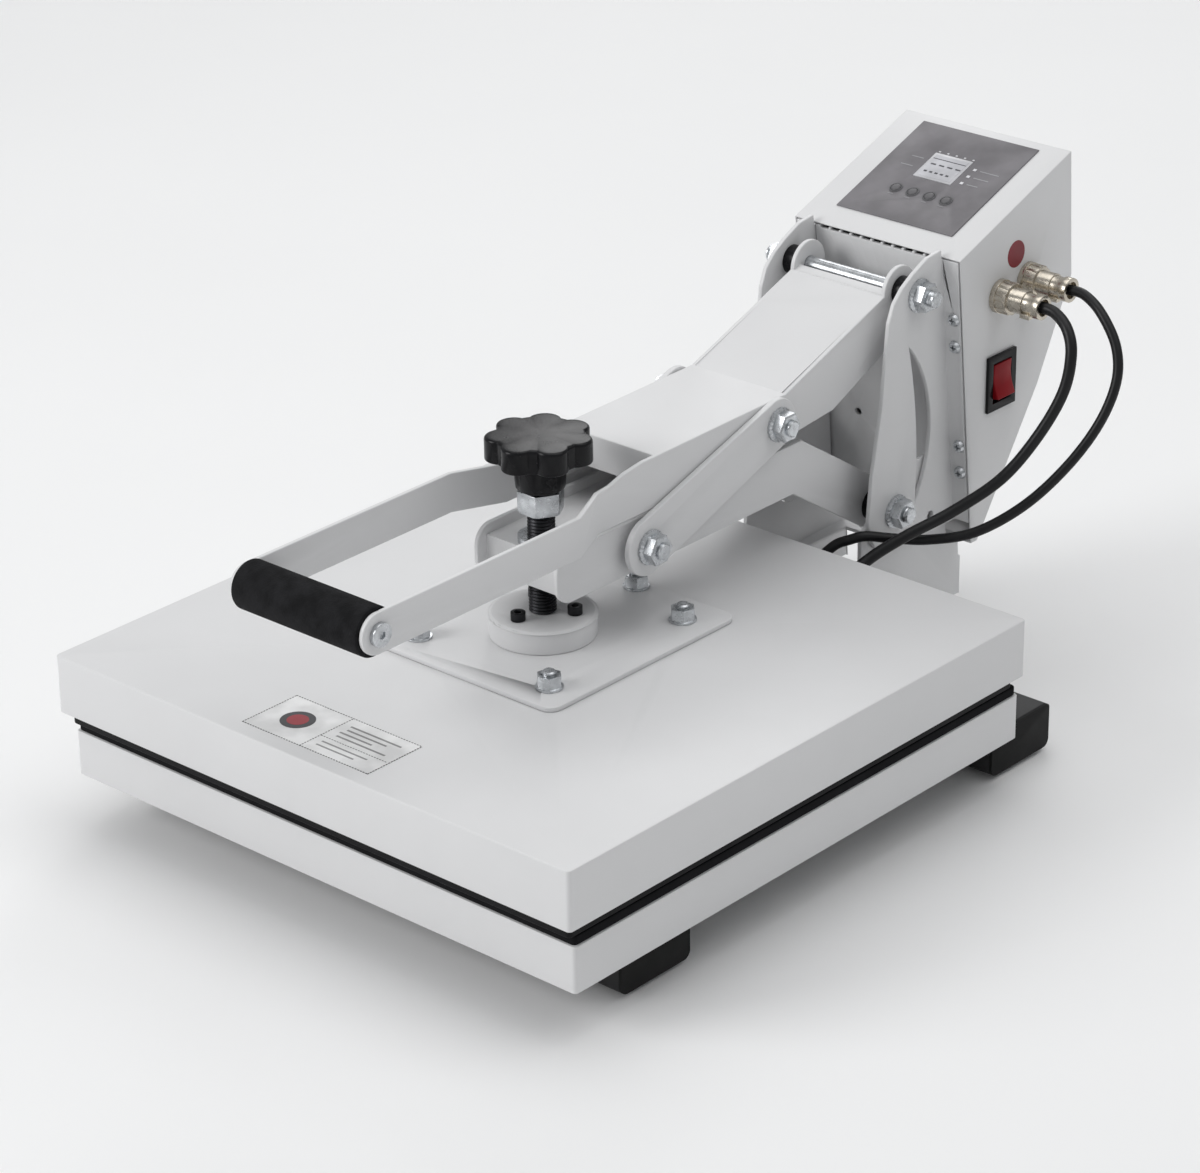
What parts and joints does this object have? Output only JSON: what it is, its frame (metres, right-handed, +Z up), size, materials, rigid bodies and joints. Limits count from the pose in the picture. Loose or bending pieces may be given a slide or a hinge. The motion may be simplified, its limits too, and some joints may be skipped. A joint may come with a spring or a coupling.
{
  "type": "heat press",
  "caption": "Closed clamshell heat press with a square heated platen, folding over-centre lever, pressure screw with lobed knob, and a slanted timer and temperature box.",
  "frame": {"origin": "centre of the bounding box on the table", "axes": "+Z up, +X to the operator's right, -Y towards the operator; closed and locked at rest"},
  "size_m": [0.39, 0.611, 0.303],
  "materials": {
    "white_paint": "satin white powder coat",
    "black_paint": "satin black paint",
    "black_rubber": "matt black rubber",
    "zinc_steel": "zinc plated steel",
    "silicone": "black silicone sponge",
    "panel_grey": "grey printed film",
    "display_glass": "reflective display window",
    "board_green": "green circuit board",
    "black_plastic": "black moulded plastic",
    "button_grey": "dark grey plastic",
    "rocker_red": "translucent red plastic",
    "lead_rubber": "black rubber sheath",
    "grip_foam": "closed-cell foam",
    "black_oxide": "black oxide steel",
    "insulation_wool": "mineral fibre board",
    "element_steel": "steel sheathed element",
    "heat_plate_coat": "dark non-stick coating"
  },
  "bodies": {
    "base": {"foot_front": "black_paint", "foot_rear": "black_paint", "foot_pads": "black_rubber", "foot_caps": "black_rubber", "foot_bolts": "zinc_steel", "base_beam": "white_paint", "lower_tray": "white_paint", "silicone_pad": "silicone", "cheek_left": "white_paint", "cheek_right": "white_paint", "front_plate": "white_paint", "plate_screws": "zinc_steel", "control_box": "white_paint", "panel_overlay": "panel_grey", "display_window": "display_glass", "circuit_board": "board_green", "relay_module": "black_plastic", "switch_bezel": "black_plastic", "mains_inlet": "black_plastic", "fuse_holder": "black_plastic", "power_socket": "zinc_steel", "sensor_socket": "zinc_steel", "power_lead": "lead_rubber", "sensor_lead": "lead_rubber", "pivot_bolt_upper": "zinc_steel", "pivot_bolt_lower": "zinc_steel", "pivot_spacers": "black_plastic"},
    "power_rocker": {"rocker": "rocker_red"},
    "key_1": {"button_1": "button_grey"},
    "key_2": {"button_2": "button_grey"},
    "key_3": {"button_3": "button_grey"},
    "key_4": {"button_4": "button_grey"},
    "swing_arm": {"main_arm": "white_paint", "screw_bush": "zinc_steel", "arm_sleeve": "zinc_steel", "front_bolts": "zinc_steel"},
    "link_bars": {"link_left": "white_paint", "link_right": "white_paint", "mid_bolts": "zinc_steel"},
    "hand_lever": {"lever": "white_paint", "lever_crossbar": "zinc_steel", "grip_core": "zinc_steel", "grip_foam": "grip_foam", "grip_screws": "zinc_steel"},
    "heated_head": {"mount_plate": "white_paint", "thrust_boss": "white_paint", "keeper_screws": "black_oxide", "head_cover": "white_paint", "mount_nuts": "zinc_steel", "mount_studs": "zinc_steel", "insulation": "insulation_wool", "heating_element": "element_steel", "heat_plate": "heat_plate_coat", "thermocouple": "zinc_steel", "lead_glands": "black_rubber"},
    "pressure_knob": {"pressure_screw": "black_oxide", "lock_nut": "zinc_steel", "knob": "black_plastic"}
  },
  "joints": [
    {"name": "arm_open", "type": "hinge", "parent": "base", "child": "swing_arm", "pos_m": [0, 0.1495, 0.112], "axis": [-1, 0, 0], "range_deg": [0, 55], "deforming": ["power_lead", "sensor_lead"]},
    {"name": "lever_swing", "type": "hinge", "parent": "base", "child": "hand_lever", "pos_m": [0, 0.168, 0.2453], "axis": [-1, 0, 0], "range_deg": [0, 113.3]},
    {"name": "link_fold", "type": "hinge", "parent": "swing_arm", "child": "link_bars", "pos_m": [0, -0.0645, 0.16], "axis": [-1, 0, 0], "range_deg": [-65.6, 0]},
    {"name": "head_lift", "type": "slide", "parent": "swing_arm", "child": "heated_head", "axis": [0, 0, 1], "range_m": [0, 0.004]},
    {"name": "knob_turn", "type": "hinge", "parent": "heated_head", "child": "pressure_knob", "pos_m": [0, -0.1105, 0.208], "axis": [0, 0, 1], "range_deg": [0, 720]},
    {"name": "rocker_tilt", "type": "hinge", "parent": "base", "child": "power_rocker", "pos_m": [0.058, 0.2335, 0.1745], "axis": [0, 1, 0], "range_deg": [0, 18]},
    {"name": "key_1_press", "type": "slide", "parent": "base", "child": "key_1", "axis": [0, 0.3403, -0.9403], "range_m": [0, 0.0012], "stiffness_N_per_m": 500, "springref_m": -0.0004},
    {"name": "key_2_press", "type": "slide", "parent": "base", "child": "key_2", "axis": [0, 0.3403, -0.9403], "range_m": [0, 0.0012], "stiffness_N_per_m": 500, "springref_m": -0.0004},
    {"name": "key_3_press", "type": "slide", "parent": "base", "child": "key_3", "axis": [0, 0.3403, -0.9403], "range_m": [0, 0.0012], "stiffness_N_per_m": 500, "springref_m": -0.0004},
    {"name": "key_4_press", "type": "slide", "parent": "base", "child": "key_4", "axis": [0, 0.3403, -0.9403], "range_m": [0, 0.0012], "stiffness_N_per_m": 500, "springref_m": -0.0004}
  ],
  "couplings": [
    {"joint": "lever_swing", "follows": "arm_open", "ratio": 2.0582},
    {"joint": "link_fold", "follows": "arm_open", "ratio": -1.191},
    {"joint": "knob_turn", "follows": "head_lift", "rad_per_m": 3141.6}
  ]
}
